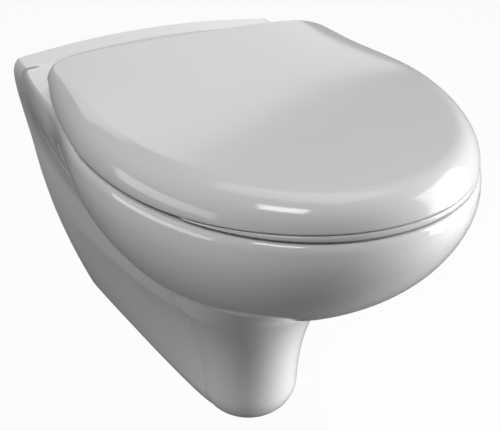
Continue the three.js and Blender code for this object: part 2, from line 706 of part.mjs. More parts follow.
// A foot plate whose goose neck reaches forward and back over to the axis, so the lid can fold past
function makeHingeBase(side) {
  const x = hingeX(side);
  const foot = RIM + HINGE_GASKET + 2 * GAP;
  const hole = HINGE_BOLT_RADIUS + GAP;
  const half = KNUCKLE_WIDTH / 2;
  const [left, right] = [x - half, x + half];
  const front = -NECK_SETBACK - NECK_DEPTH / 2;
  const along = (radius, reach) =>
    spun(rod(radius, 2 * reach), place(x - reach, -HINGE_SETBACK, axisZ), ACROSS, FINE_AROUND);
  const footPlate = plate(HINGE_FOOT_WIDTH, HINGE_FOOT_DEPTH, HINGE_FOOT, hole, x, -HINGE_SETBACK, foot);
  const tongue = block(left, right, front, -HINGE_SETBACK, foot, foot + HINGE_FOOT);
  const neck = block(left, right, front, front + NECK_DEPTH, foot, RIM + NECK_TOP);
  const arm = block(left, right, front, -HINGE_SETBACK, RIM + NECK_TOP - NECK_ARM, RIM + NECK_TOP);
  const bolt = spun(rod(hole, HINGE_BOLT_GRIP + 2 * GAP), place(x, -HINGE_SETBACK, foot - GAP), UP);
  const pin = along(PIN_RADIUS + GAP, KNUCKLE_WIDTH);
  return cut(joined(footPlate, tongue, neck, arm, along(KNUCKLE_RADIUS, half)), bolt, pin);
}

const hingeSpot = (side, rise) => place(hingeX(side), -HINGE_SETBACK, RIM + rise);

function makeHingePin(side) {
  const length = KNUCKLE_WIDTH + 2 * (HINGE_GAP + EYE_WIDTH);
  return spun(rod(PIN_RADIUS, length), place(hingeX(side) - length / 2, -HINGE_SETBACK, axisZ), ACROSS);
}

function makeGasket(side) {
  const hole = HINGE_BOLT_RADIUS + GAP;
  const [x, z] = [hingeX(side), RIM + GAP];
  return plate(HINGE_FOOT_WIDTH, HINGE_FOOT_DEPTH, HINGE_GASKET, hole, x, -HINGE_SETBACK, z);
}

function makeHingeBolt(side) {
  const top = HINGE_GASKET + HINGE_BOLT_GRIP;
  return spun(rod(HINGE_BOLT_RADIUS, HINGE_BOLT_DROP + top), hingeSpot(side, -HINGE_BOLT_DROP), UP);
}

// Soft cone that centres the bolt in the hole from below
function makeCone(side) {
  const bore = HINGE_BOLT_RADIUS + GAP;
  const flange = CONE_HEIGHT / 2;
  const profile = [
    [bore, 0],
    [(bore + CONE_RADIUS) / 2, 0],
    [CONE_RADIUS, flange],
    [CONE_RADIUS, CONE_HEIGHT],
    [HINGE_HOLE_RADIUS - GAP, CONE_HEIGHT],
    [HINGE_HOLE_RADIUS - GAP, CONE_HEIGHT + flange],
    [bore, CONE_HEIGHT + flange],
    [bore, 0],
  ];
  return spun(profile, hingeSpot(side, -DECK - GAP - CONE_HEIGHT), UP);
}

function makeWingNut(side) {
  const top = -DECK - 2 * GAP - CONE_HEIGHT;
  const upright = (radius, from, height) => spun(rod(radius, height), hingeSpot(side, from), UP);
  const body = upright(WING_NUT_RADIUS, top - WING_NUT_HEIGHT, WING_NUT_HEIGHT);
  const [x, z] = [hingeX(side), RIM + top];
  const [span, thick] = [WING_SPAN / 2, WING_THICK / 2];
  const [front, back] = [-HINGE_SETBACK - thick, -HINGE_SETBACK + thick];
  const wings = block(x - span, x + span, front, back, z - WING_NUT_HEIGHT * 1.5, z - GAP);
  const hole = upright(HINGE_BOLT_RADIUS + GAP, top - 3 * WING_NUT_HEIGHT, 4 * WING_NUT_HEIGHT);
  return cut(joined(body, wings), hole);
}

// Wall fixings
const wallSpot = (side, depth) => place(studX(side), -depth, 0);

const makeStud = (side) => {
  const tip = STUD_RADIUS / 4;
  const profile = [
    [0, 0],
    [STUD_RADIUS, 0],
    [STUD_RADIUS, STUD_LENGTH - tip],
    [STUD_RADIUS - tip, STUD_LENGTH],
    [0, STUD_LENGTH],
  ];
  return spun(profile, wallSpot(side, 0), FORWARD);
};

function makeSleeve(side) {
  const [inner, outer] = [STUD_RADIUS + GAP, STUD_RADIUS + GAP + SLEEVE_WALL];
  const flange = WEB_DEPTH + GAP;
  const profile = [
    [inner, GAP],
    [outer, GAP],
    [outer, flange],
    [SLEEVE_FLANGE_RADIUS, flange],
    [SLEEVE_FLANGE_RADIUS, flange + SLEEVE_FLANGE],
    [inner, flange + SLEEVE_FLANGE],
    [inner, GAP],
  ];
  return spun(profile, wallSpot(side, 0), FORWARD);
}

const washerDepth = WEB_DEPTH + SLEEVE_FLANGE + 2 * GAP;
const makeWasher = (side) =>
  spun(ringOf(STUD_RADIUS + GAP, WASHER_RADIUS, WASHER), wallSpot(side, washerDepth), FORWARD);

function makeNut(side) {
  const depth = washerDepth + WASHER + GAP;
  const hex = spun(rod(NUT_RADIUS, NUT), wallSpot(side, depth), FORWARD, 6);
  return cut(hex, spun(rod(STUD_RADIUS + GAP, 3 * NUT), wallSpot(side, depth - NUT), FORWARD));
}

// Rubber buffers, placed on the oval halfway across the seat ring
function bufferBody(angle, low, high) {
  const lid = lidReach(angle);
  const hole = reachOf(inSeatHole, -OVAL_CENTRE, angle, LID_REACH);
  const reach = lerp(hole, lid, BUFFER_PLACE);
  const [w, d] = [BUFFER_LENGTH / 2, BUFFER_WIDTH / 2];
  const ringAt = (z, inset) => anglesOf(TUBE_AROUND).map((turn) => {
    const round = (value) => Math.sign(value) * power(abs(value), 1 / 2);
    return new THREE.Vector3((d - inset) * round(cos(turn)), (w - inset) * round(sin(turn)), z);
  });
  const body = [ringAt(low, BUFFER_ROUND), ringAt(low + BUFFER_ROUND, 0), ringAt(high, 0)];
  const spin = new THREE.Matrix4().makeRotationZ(angle).setPosition(polar(reach, angle, -OVAL_CENTRE, 0));
  return bodyFromRings(capped(body).map((ring) => ring.map((point) => point.clone().applyMatrix4(spin))));
}

const seatBuffer = (angle) => bufferBody(angle, RIM + GAP, RIM + SEAT_GAP + SEAT_RECESS - GAP);
const lidBuffer = (angle) => bufferBody(angle, RIM + SEAT_TOP + GAP, RIM + LID_TOP - LID_THICK - GAP);

// Finishes
const finishes = {
  ceramic: { color: '#f1f1ee', roughness: 0.08, metalness: 0 },
  seat_plastic: { color: '#f3f3f1', roughness: 0.14, metalness: 0 },
  plastic: { color: '#e4e4e0', roughness: 0.45, metalness: 0 },
  rubber: { color: '#d9d9d4', roughness: 0.8, metalness: 0 },
  zinc_steel: { color: '#b7b9b8', roughness: 0.35, metalness: 1 },
  stainless: { color: '#c9cac8', roughness: 0.3, metalness: 1 },
};

const group = new THREE.Group();
group.name = 'wall_hung_toilet';

function addPiece(name, solid, finish) {
  const mesh = new THREE.Mesh(toGeometry(solid), new THREE.MeshStandardMaterial(finishes[finish]));
  mesh.name = name;
  mesh.material.name = finish;
  group.add(mesh);
}

addPiece('pan', makePan(), 'ceramic');
addPiece('seat_ring', makeSeat(), 'seat_plastic');
addPiece('lid', makeLid(), 'seat_plastic');

Object.entries(sides).forEach(([name, side]) => {
  addPiece(`hinge_base_${name}`, makeHingeBase(side), 'seat_plastic');
  addPiece(`hinge_pin_${name}`, makeHingePin(side), 'stainless');
  addPiece(`hinge_gasket_${name}`, makeGasket(side), 'rubber');
  addPiece(`hinge_bolt_${name}`, makeHingeBolt(side), 'stainless');
  addPiece(`hinge_cone_${name}`, makeCone(side), 'rubber');
  addPiece(`hinge_nut_${name}`, makeWingNut(side), 'plastic');
  addPiece(`wall_stud_${name}`, makeStud(side), 'zinc_steel');
  addPiece(`stud_sleeve_${name}`, makeSleeve(side), 'plastic');
  addPiece(`stud_washer_${name}`, makeWasher(side), 'zinc_steel');
  addPiece(`stud_nut_${name}`, makeNut(side), 'zinc_steel');
});

Object.entries(BUFFER_TURNS).forEach(([name, turn]) => {
  const angle = turn * PI;
  addPiece(`seat_buffer_${name}`, seatBuffer(angle), 'rubber');
  addPiece(`lid_buffer_${name}`, lidBuffer(angle), 'rubber');
});

export default group;
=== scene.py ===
"""Looks of the wall hung toilet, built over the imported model.

Metres in Blender, +Z up, the wall is the plane y = 0 and the pan reaches towards -Y.
The shapes are worked out in millimetres from the same sizes as the solids, only finer.
A drop goes down from the rim and a rise up from it. A reach, a setback, and the back, front
or widest place of a shape are distances from the wall.
"""

import math

import bpy
import numpy as np
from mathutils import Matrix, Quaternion, Vector


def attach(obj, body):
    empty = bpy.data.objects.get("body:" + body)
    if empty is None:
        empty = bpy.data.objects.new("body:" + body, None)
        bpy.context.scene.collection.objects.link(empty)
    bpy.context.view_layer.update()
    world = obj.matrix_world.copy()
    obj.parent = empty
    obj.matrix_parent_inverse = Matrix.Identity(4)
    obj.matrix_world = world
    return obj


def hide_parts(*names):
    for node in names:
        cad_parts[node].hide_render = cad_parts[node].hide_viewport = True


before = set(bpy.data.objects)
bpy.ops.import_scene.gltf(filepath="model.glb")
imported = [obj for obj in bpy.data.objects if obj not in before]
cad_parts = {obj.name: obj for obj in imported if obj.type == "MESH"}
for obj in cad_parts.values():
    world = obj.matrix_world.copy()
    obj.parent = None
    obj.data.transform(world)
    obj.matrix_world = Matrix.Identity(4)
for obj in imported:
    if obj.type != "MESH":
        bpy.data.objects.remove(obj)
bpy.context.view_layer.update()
MM = 0.001

# Outline of the pan. The solid is 0.2 wider on each side, and its coarser facets end inside
# that width, so this fine skin stays within the box of the solids.
RIM = 76
PAN_HALF_WIDTH, PAN_REACH, PAN_WIDEST, PAN_FRONT_POWER = 184.3, 543.5, 288, 2.1
PAN_NECK, PAN_NECK_HALF_WIDTH, PAN_WALL_HALF_WIDTH = 140, 167, 150
PAN_DROP, FOOT_ROUND = 343, 38.5

# Outside of the pan: bowl, trunk below it, wings to the wall, and the blends between them
SPINE = 230
SHOULDER_DROP, RIM_ROUND_IN, RIM_ROUND_DROP = 17.3, 5, 10
BOWL_DROP, BOWL_TOP_POWER, BOWL_SIDE_POWER, SKIN_BLEND = 165, 1.61, 2.01, 19
WALL_ROUND_IN, WALL_ROUND_DROP, WALL_ROUND_FROM = 16, 17, 70
WALL_BLEND, WALL_BLEND_FROM, WALL_BLEND_FULL = 50, -0.1, 0.5
TRUNK_HALF_WIDTH, TRUNK_REACH = 52, 266.5
TRUNK_FLARE, TRUNK_FLARE_RISE, TRUNK_FLARE_POWER = 30, 150, 2.87
WING_TOP_HALF_WIDTH, WING_LOW_HALF_WIDTH, WING_LOW_DROP = 152, 96, 277
WING_POWER, WING_FALL_POWER = 0.6, 2
LEDGE_RISE, LEDGE_FALL, LEDGE_FALL_AT, LEDGE_FADE_DROP = 8, 14, 170, 60
LEDGE_FRONT, LEDGE_BACK, LEDGE_MARGIN = 50, 31, 4

# Inside of the pan. The outer wall of the flushing groove leans in by its taper towards its
# foot, which keeps the groove inside the skin. The solid's wall is upright there.
SKIN, DECK, BOWL_WALL = 11, 13, 10.5
OPENING_HALF_WIDTH, OPENING_BACK, OPENING_FRONT, OPENING_ROUND = 126, 192, 500, 7
LIP, LIP_DROP = 9, 45
GROOVE_WIDTH, GROOVE_TAPER, GROOVE_TOP, GROOVE_SLOT = 23, 9, 15, 7
SUMP_RADIUS, SUMP_DROP, SUMP_REACH = 32, 188, 257
BOWL_FALL_POWER, BOWL_FALL_SIDE, OVAL_POWER = 2, 1.15, 2.2
TRAP_RADIUS, TRAP_WALL, TRAP_BEND, TRAP_DIP_DROP, TRAP_WEIR_DROP = 30, 11, 53, 236, 172

# Connections and fixings of the pan. Heights of these are measured from the studs.
INLET_RISE, OUTLET_DROP = 35, 100
OUTLET_RADIUS, OUTLET_WALL, OUTLET_RUN = 40, 11, 45
INLET_RADIUS, INLET_WALL, INLET_DEPTH, DUCT_RADIUS = 27.5, 9, 72, 12
STUD_SPACING, STUD_HOLE_RADIUS, WEB_HEIGHT, WEB_DEPTH, RIB_WIDTH = 180, 9.3, 64, 28, 40

# Lid
OVAL_CENTRE = 345
LID_HALF_WIDTH, LID_REACH, LID_WIDEST = 181.5, 543, 287.6
LID_BACK, LID_BACK_HALF_WIDTH, LID_CORNER = 110, 156, 20
LID_FRONT_POWER, LID_REAR_POWER, LID_TOP, LID_CROWN = 2.09, 1.5, 38, 0.7
LID_WIDE_RISE, LID_ROLL, LID_BACK_ROLL, LID_ROLL_FROM = 7, 27, 10, 200
LID_SIDE_FALL, LID_FALL_POWER, LID_FALL_FROM = 8, 4, 330
LID_THICK, LID_SKIRT_RISE, LID_EDGE_ROUND = 5, 3, 1.3
LID_FRONT_RISE, LID_FRONT_FROM, LID_FRONT_FULL = 10.5, 380, 560
LID_BACK_RISE, LID_BACK_FROM, LID_BACK_FULL = 26.3, 165, 134

# Seat ring. A place on its crown is the part of the way across from the hole to the outside,
# the inset from there, and the part of the way up from the underside.
SEAT_GAP, LID_GAP, SEAT_TOP = 3, 1.3, 20
SEAT_HOLE_HALF_WIDTH, SEAT_HOLE_BACK, SEAT_HOLE_FRONT = 108, 214, 488
SEAT_BACK, SEAT_CORNER, SEAT_EDGE_ROUND = 139, 22, 2.2
SEAT_SIDE_INSET, SEAT_FRONT_INSET, SEAT_TUCK, SEAT_SHOW = 7.5, 0.6, 8.8, 1.2
SEAT_RECESS, SEAT_WALL = 7, 7
SEAT_CROWN = (
    (1, SEAT_TUCK + SEAT_WALL / 2, 3 / 4), (1, 2 * SEAT_TUCK, 11 / 12),
    (1 / 2, 0, 1), (1 / 4, 0, 7 / 8), (1 / 16, 0, 5 / 8), (0, 0, 3 / 8), (0, 0, 1 / 8),
)

# Hinges
HINGE_SPACING, HINGE_SETBACK, HINGE_RISE, HINGE_HOLE_RADIUS, HINGE_GAP = 155, 124, 24, 7, 0.4
KNUCKLE_WIDTH, NECK_SETBACK, NECK_DEPTH = 14, 144.5, 10
EYE_RADIUS, EYE_WIDTH, PIN_RADIUS, SEAT_ARM_LENGTH = 5.7, 12, 3, 28
AXIS_Z = RIM + HINGE_RISE
EYE_OUT = KNUCKLE_WIDTH / 2 + HINGE_GAP + EYE_WIDTH / 2

# Small clearance, how far a cutting body goes past what it cuts, and how far shapes that end
# at the wall run on behind it before they are cut off there
GAP, PAST, BEHIND_WALL = 0.3, 12, 90

# Fineness: points round a shape, rows along it
SKIN_AROUND, SKIN_ROWS, SKIN_TRIAL_ROWS, SKIN_EVENINGS = 400, 150, 700, 5
RIM_ROWS, LEDGE_ROWS, DECK_ROWS = 20, 16, 6
HOLLOW_AROUND, HOLLOW_ROWS = 120, 40
BOWL_AROUND, BOWL_ROWS, MOUTH_ROUND_ROWS = 180, 44, 10
LID_AROUND, LID_OUTER_ROWS, LID_INNER_ROWS, LID_EDGE_ROWS = 288, 28, 12, 6
LID_FLAT_ROWS = np.array([0.02, 0.2, 0.4, 0.6, 0.8, 0.93])
SEAT_AROUND, SEAT_EDGE_ROWS, SEAT_CROWN_STEPS = 288, 5, 5
TUBE_AROUND, PIN_AROUND = 64, 40
CURVE_POINTS, STRAIGHT_POINTS = 16, 5
HALVINGS, NEAR_ZERO, NO_BOUND = 34, 1e-6, 1e6
SHARP = math.radians(50)


def power(value, exponent):
    return np.maximum(value, 0.0) ** exponent


def smooth(value, start, end):
    t = np.clip((value - start) / (end - start), 0, 1)
    return t * t * (3 - 2 * t)


def lerp(a, b, t):
    return a + (b - a) * t


def egg(y, half, reach, widest, front_power):
    along = power((np.abs(y) - widest) / (reach - widest), front_power)
    return half * power(1 - along, 1 / front_power)


def blended_max(a, b, blend):
    near = np.maximum(0, 1 - np.abs(a - b) / blend)
    return np.maximum(a, b) + blend * near * near / 4


def reach_of(inside, centre_y, angle, limit):
    """How far a shape reaches from a centre on x = 0, along each angle."""
    near = np.zeros_like(angle)
    far = np.full_like(angle, limit)
    for _ in range(HALVINGS):
        middle = (near + far) / 2
        within = inside(middle * np.cos(angle), centre_y + middle * np.sin(angle))
        near = np.where(within, middle, near)
        far = np.where(within, far, middle)
    return near


def angles_of(around):
    return np.arange(around) * 2 * math.pi / around


def polar(reach, angle, centre_y, z):
    reach, angle, z = np.broadcast_arrays(reach, angle, z)
    x, y = reach * np.cos(angle), centre_y + reach * np.sin(angle)
    return np.stack([x, y, z], -1).astype(float)


def quarter_round(radius, count):
    """How far a rounded edge stays behind its two faces, from the first to the second."""
    turn = np.linspace(0, math.pi / 2, count)
    return radius * (1 - np.cos(turn)), radius * (1 - np.sin(turn))


# Bodies made of rings

def new_object(name, vertices, faces):
    mesh = bpy.data.meshes.new(name)
    mesh.from_pydata([tuple(v) for v in np.asarray(vertices) * MM], [], faces)
    mesh.validate()
    obj = bpy.data.objects.new(name, mesh)
    bpy.context.scene.collection.objects.link(obj)
    return obj


def face_outwards(obj):
    mesh = obj.data
    mesh.calc_loop_triangles()
    co = np.array([v.co for v in mesh.vertices])
    tri = np.array([t.vertices for t in mesh.loop_triangles])
    a, b, c = co[tri[:, 0]], co[tri[:, 1]], co[tri[:, 2]]
    if np.einsum("ij,ij->i", a, np.cross(b, c)).sum() < 0:
        mesh.flip_normals()
    return obj


def ring_body(name, rings, closed=False):
    """A closed body from rings of points. Closed says that the last ring meets the first again;
    otherwise both ends close in a fan about their middle."""
    rings = np.asarray(rings)
    count, around = rings.shape[:2]
    vertices = list(rings.reshape(-1, 3))
    faces = []
    for r in range(count if closed else count - 1):
        a, b = r * around, ((r + 1) % count) * around
        for i in range(around):
            j = (i + 1) % around
            faces.append((a + i, a + j, b + j, b + i))
    if not closed:
        for start, ring, first in ((0, rings[0], True), ((count - 1) * around, rings[-1], False)):
            centre = len(vertices)
            vertices.append(ring.mean(0))
            for i in range(around):
                here, there = start + i, start + (i + 1) % around
                faces.append((centre, there, here) if first else (centre, here, there))
    return face_outwards(new_object(name, vertices, faces))


def tube(name, radius, start, end, around=TUBE_AROUND):
    """A round rod between two points that lie along one axis."""
    start, end = np.array(start, float), np.array(end, float)
    along = int(np.argmax(np.abs(end - start)))
    first, second = [axis for axis in range(3) if axis != along]
    ring = np.zeros((around, 3))
    ring[:, first] = radius * np.cos(angles_of(around))
    ring[:, second] = radius * np.sin(angles_of(around))
    return ring_body(name, [ring + start, ring + end])


def block(name, low, high):
    (x0, y0, z0), (x1, y1, z1) = low, high
    ring = [(x0, y0), (x1, y0), (x1, y1), (x0, y1)]
    return ring_body(name, [[(x, y, z) for x, y in ring] for z in (z0, z1)])


def shaped(obj, operation, tools):
    """The body after joining or cutting tools, which are used up."""
    for tool in tools:
        modifier = obj.modifiers.new("shape", "BOOLEAN")
        modifier.operation = operation
        modifier.solver = "MANIFOLD"
        modifier.object = tool
    bpy.context.view_layer.update()
    evaluated = obj.evaluated_get(bpy.context.evaluated_depsgraph_get())
    mesh = bpy.data.meshes.new_from_object(evaluated)
    obj.modifiers.clear()
    old, obj.data = obj.data, mesh
    bpy.data.meshes.remove(old)
    for tool in tools:
        bpy.data.objects.remove(tool)
    return obj


def cut(obj, *tools):
    return shaped(obj, "DIFFERENCE", tools)


def joined(obj, *tools):
    return shaped(obj, "UNION", tools)


# Pan, outside

def rim_half_width(y):
    waist = (PAN_HALF_WIDTH - PAN_NECK_HALF_WIDTH) * smooth(y, -PAN_WIDEST, -PAN_NECK)
    at_wall = (PAN_NECK_HALF_WIDTH - PAN_WALL_HALF_WIDTH) * np.clip(1 + y / PAN_NECK, 0, 1) ** 2
    rear = PAN_HALF_WIDTH - waist - at_wall
    front = egg(y, PAN_HALF_WIDTH, PAN_REACH, PAN_WIDEST, PAN_FRONT_POWER)
    return np.where(y < -PAN_WIDEST, front, rear)


def trunk_half_width(y, drop):
    low = np.maximum(0, drop - PAN_DROP + FOOT_ROUND)
    tuck = FOOT_ROUND - np.sqrt(np.maximum(0, FOOT_ROUND ** 2 - low ** 2))
    up = np.clip((PAN_DROP - drop) / TRUNK_FLARE_RISE, 0, 1)
    trunk = TRUNK_HALF_WIDTH + TRUNK_FLARE * power(up, TRUNK_FLARE_POWER) - tuck
    narrowing = WING_TOP_HALF_WIDTH - WING_LOW_HALF_WIDTH
    wall = WING_TOP_HALF_WIDTH - narrowing * power(drop / WING_LOW_DROP, WING_FALL_POWER) - tuck
    front = np.sqrt(np.maximum(0, trunk ** 2 - (y + TRUNK_REACH) ** 2))
    to_wall = power(1 - np.clip(-y / TRUNK_REACH, 0, 1), WING_POWER)
    return np.where(y < -TRUNK_REACH, front, lerp(trunk, wall, to_wall))


def spine_reach(half_width, angle):
    return reach_of(
        lambda x, y: (y < BEHIND_WALL) & (np.abs(x) < half_width(y)),
        -SPINE, angle, PAN_REACH + SPINE)


def skin_reach(angle, rim, drop):
    """Reach of the outside from the spine: the bowl and the trunk, blended, with the top edge
    rounded off."""
    angle, rim, drop = np.broadcast_arrays(angle, rim, drop)
    below_top = power((drop - SHOULDER_DROP) / BOWL_DROP, BOWL_TOP_POWER)
    scale = power(1 - below_top, 1 / BOWL_SIDE_POWER)
    trunk = spine_reach(lambda y: trunk_half_width(y, drop), np.array(angle, float))
    at_wall = smooth(rim * np.sin(angle) - SPINE, -WALL_ROUND_FROM, 0)
    edge = np.clip(1 - drop / lerp(RIM_ROUND_DROP, WALL_ROUND_DROP, at_wall), 0, 1)
    rounding = lerp(RIM_ROUND_IN, WALL_ROUND_IN, at_wall) * (1 - np.sqrt(1 - edge * edge))
    blend = lerp(SKIN_BLEND, WALL_BLEND, smooth(np.sin(angle), WALL_BLEND_FROM, WALL_BLEND_FULL))
    return blended_max(rim * scale, trunk, blend) - rounding


def ledge_rise(x, y):
    level = LEDGE_RISE - LEDGE_FALL * (x / LEDGE_FALL_AT) ** 2
    return level * smooth(y, -LEDGE_FRONT, -LEDGE_BACK)


def rows_by_length(lengths, count):
    """Row numbers spread evenly along a length."""
    goal = np.linspace(0, lengths[-1], count)
    return np.interp(goal, lengths, np.arange(len(lengths)))


def evened(reach):
    """Reach with its small unevenness round the pan taken out."""
    for _ in range(SKIN_EVENINGS):
        reach = (np.roll(reach, 1, 0) + 2 * reach + np.roll(reach, -1, 0)) / 4
    return reach


def skin_drops(angle, rim):
    """Drops of the skin's rows: close together round the top edge, then even along the skin."""
    round_drops = WALL_ROUND_DROP * np.linspace(0, 1, RIM_ROWS) ** 2
    trial = np.linspace(WALL_ROUND_DROP, PAN_DROP, SKIN_TRIAL_ROWS)
    reach = skin_reach(angle, rim, trial[None, :])
    run = np.hypot(np.diff(reach, axis=1), np.diff(trial)[None, :]).max(0)
    rows = rows_by_length(np.concatenate([[0], np.cumsum(run)]), SKIN_ROWS)
    side_drops = np.interp(rows, np.arange(len(trial)), trial)[1:]
    return np.concatenate([round_drops, side_drops])[None, :]


def level_reach(level, angle):
    """Reach from the spine to a line along the wall, or no bound where it points away."""
    up = np.sin(angle)
    return np.where(up > 0, (SPINE - level) / np.maximum(up, NEAR_ZERO), NO_BOUND)


def pan_skin():
    angle = angles_of(SKIN_AROUND)[:, None]
    rim = spine_reach(rim_half_width, angle)
    drops = skin_drops(angle, rim)
    side = polar(evened(skin_reach(angle, rim, drops)), angle, -SPINE, RIM - drops)
    edge = evened(skin_reach(angle, rim, np.zeros((1, 1))))
    levels = np.linspace(LEDGE_FRONT + LEDGE_MARGIN, LEDGE_BACK - LEDGE_MARGIN, LEDGE_ROWS)
    first = np.minimum(edge - GAP * (len(levels) + 1), level_reach(levels[0], angle))
    deck = [first * part for part in np.linspace(0, 1, DECK_ROWS + 1)[1:]]
    for i, level in enumerate(levels):
        deck.append(np.minimum(edge - GAP * (len(levels) - i), level_reach(level, angle)))
    top = polar(np.concatenate(deck, 1), angle, -SPINE, RIM)
    points = np.concatenate([top, side], 1)
    fade = np.clip(1 - (RIM - points[..., 2]) / LEDGE_FADE_DROP, 0, 1)
    points[..., 2] += ledge_rise(points[..., 0], points[..., 1]) * fade
    return ring_body("pan_glazed", points.transpose(1, 0, 2))


# Pan, inside

def pan_hollow(name):
    angle = angles_of(HOLLOW_AROUND)[:, None]
    drop = np.linspace(DECK, PAN_DROP - SKIN, HOLLOW_ROWS)[None, :]
    rim = spine_reach(rim_half_width, angle)
    reach = np.maximum(SKIN, skin_reach(angle, rim, drop + SKIN / 2) - SKIN)
    return ring_body(name, polar(reach, angle, -SPINE, RIM - drop).transpose(1, 0, 2))


def oval_ring(half_width, back, front, drop, outset):
    turn = angles_of(BOWL_AROUND)
    bend = lambda value: np.sign(value) * power(np.abs(value), 2 / OVAL_POWER)
    x = (half_width + outset) * bend(np.cos(turn))
    y = -(back + front) / 2 + ((front - back) / 2 + outset) * bend(np.sin(turn))
    return np.stack([x, y, np.full(BOWL_AROUND, RIM - drop)], -1)


def opening_body(name, stations):
    """A body with the opening's outline, from stations of (drop, outset)."""
    return ring_body(name, [
        oval_ring(OPENING_HALF_WIDTH, OPENING_BACK, OPENING_FRONT, drop, outset)
        for drop, outset in stations])


def bowl_body(name, outset):
    rings = []
    edge = LIP + GROOVE_SLOT
    for part in np.linspace(0, 1, BOWL_ROWS):
        left = power(1 - part ** BOWL_FALL_POWER, BOWL_FALL_SIDE)
        rings.append(oval_ring(
            lerp(SUMP_RADIUS, OPENING_HALF_WIDTH + edge, left),
            lerp(SUMP_REACH - SUMP_RADIUS, OPENING_BACK - edge, left),
            lerp(SUMP_REACH + SUMP_RADIUS, OPENING_FRONT + edge, left),
            lerp(LIP_DROP, SUMP_DROP, part), outset))
    return ring_body(name, rings)


def trap_line():
    """Points of the trap's centre line, as distance along y and height."""
    down = -SUMP_REACH
    dip, rise, weir = down + TRAP_BEND, down + 2 * TRAP_BEND, down + 3 * TRAP_BEND
    handle = TRAP_BEND * 4 * (math.sqrt(2) - 1) / 3
    low, lowest = TRAP_DIP_DROP, TRAP_DIP_DROP + TRAP_BEND
    high, top = TRAP_WEIR_DROP, TRAP_WEIR_DROP + TRAP_BEND
    outlet = RIM + OUTLET_DROP
    slope = (weir - OUTLET_RUN) / 2
    pieces = [
        [(down, SUMP_DROP - PAST), (down, low)],
        [(down, low), (down, low + handle), (dip - handle, lowest), (dip, lowest)],
        [(dip, lowest), (dip + handle, lowest), (rise, low + handle), (rise, low)],
        [(rise, low), (rise, top)],
        [(rise, top), (rise, top - handle), (weir - handle, high), (weir, high)],
        [(weir, high), (slope, high), (slope, outlet), (-OUTLET_RUN, outlet)],
        [(-OUTLET_RUN, outlet), (PAST, outlet)],
    ]
    line = []
    for piece in pieces:
        p = np.array(piece, float)
        curved = len(piece) == 4
        t = np.linspace(0, 1, CURVE_POINTS if curved else STRAIGHT_POINTS)[:, None]
        if curved:
            p = (p[0] * (1 - t) ** 3 + 3 * p[1] * t * (1 - t) ** 2
                 + 3 * p[2] * t * t * (1 - t) + p[3] * t ** 3)
        else:
            p = lerp(p[0], p[1], t)
        line.extend(p if not line else p[1:])
    line = np.array(line)
    line[:, 1] = RIM - line[:, 1]
    return line


def trap_body(name, radius):
    line = trap_line()
    tangent = np.gradient(line, axis=0)
    tangent /= np.linalg.norm(tangent, axis=1)[:, None]
    turn = angles_of(TUBE_AROUND)
    across, lift = radius * np.cos(turn), radius * np.sin(turn)
    return ring_body(name, [
        np.stack([across, y - lift * tz, z + lift * ty], -1)
        for (y, z), (ty, tz) in zip(line, tangent)])


def from_wall(name, radius, x, z, length):
    return tube(name, radius, (x, PAST, z), (x, -length, z))


def pan_bores():
    """Holes for the studs and for the hinge bolts."""
    bores = []
    for side in (-1, 1):
        bores.append(from_wall(
            "stud_hole", STUD_HOLE_RADIUS, side * STUD_SPACING / 2, 0, WEB_DEPTH + PAST))
        x = side * HINGE_SPACING / 2
        bores.append(tube(
            "hinge_hole", HINGE_HOLE_RADIUS,
            (x, -HINGE_SETBACK, RIM - DECK - PAST), (x, -HINGE_SETBACK, RIM + PAST)))
    return bores


def make_pan():
    skin = pan_skin()
    behind_y = BEHIND_WALL + PAST
    duct_z = RIM - LIP_DROP + DUCT_RADIUS + GAP
    duct_run = OPENING_BACK - GROOVE_WIDTH
    groove_out = LIP + GROOVE_WIDTH
    box_out = groove_out + BOWL_WALL
    hollow = cut(
        pan_hollow("hollow"),
        block("web", (-PAN_HALF_WIDTH, -WEB_DEPTH, -WEB_HEIGHT / 2),
              (PAN_HALF_WIDTH, behind_y, WEB_HEIGHT / 2)),
        block("rib", (-RIB_WIDTH / 2, -WEB_DEPTH, OUTLET_RADIUS - OUTLET_DROP),
              (RIB_WIDTH / 2, behind_y, 0)),
        opening_body("rim_box", [(0, box_out), (LIP_DROP + BOWL_WALL, box_out)]),
        bowl_body("bowl_outside", BOWL_WALL),
        trap_body("trap_outside", TRAP_RADIUS + TRAP_WALL),
        from_wall("outlet_outside", OUTLET_RADIUS + OUTLET_WALL, 0, -OUTLET_DROP,
                  OUTLET_RUN + OUTLET_WALL),
        from_wall("inlet_outside", INLET_RADIUS + INLET_WALL, 0, INLET_RISE,
                  INLET_DEPTH + INLET_WALL),
        from_wall("duct_outside", DUCT_RADIUS + INLET_WALL, 0, duct_z, duct_run),
    )
    rounded = zip(*quarter_round(OPENING_ROUND, MOUTH_ROUND_ROWS))
    mouth = opening_body("mouth", [
        (-PAST, OPENING_ROUND), *rounded, (LIP_DROP + GAP, 0)])
    groove = cut(
        opening_body("groove", [
            (GROOVE_TOP, groove_out), (LIP_DROP + GAP, groove_out - GROOVE_TAPER)]),
        opening_body("lip", [(0, LIP), (RIM, LIP)]),
    )
    behind = block("behind", (-PAN_REACH, 0, -PAN_REACH), (PAN_REACH, PAN_REACH, PAN_REACH))
    return cut(
        skin, hollow, mouth, groove, bowl_body("bowl", 0), trap_body("trap", TRAP_RADIUS),
        from_wall("outlet", OUTLET_RADIUS, 0, -OUTLET_DROP, OUTLET_RUN),
        from_wall("inlet", INLET_RADIUS, 0, INLET_RISE, INLET_DEPTH),
        from_wall("duct", DUCT_RADIUS, 0, duct_z, duct_run),
        *pan_bores(), behind)


# Lid

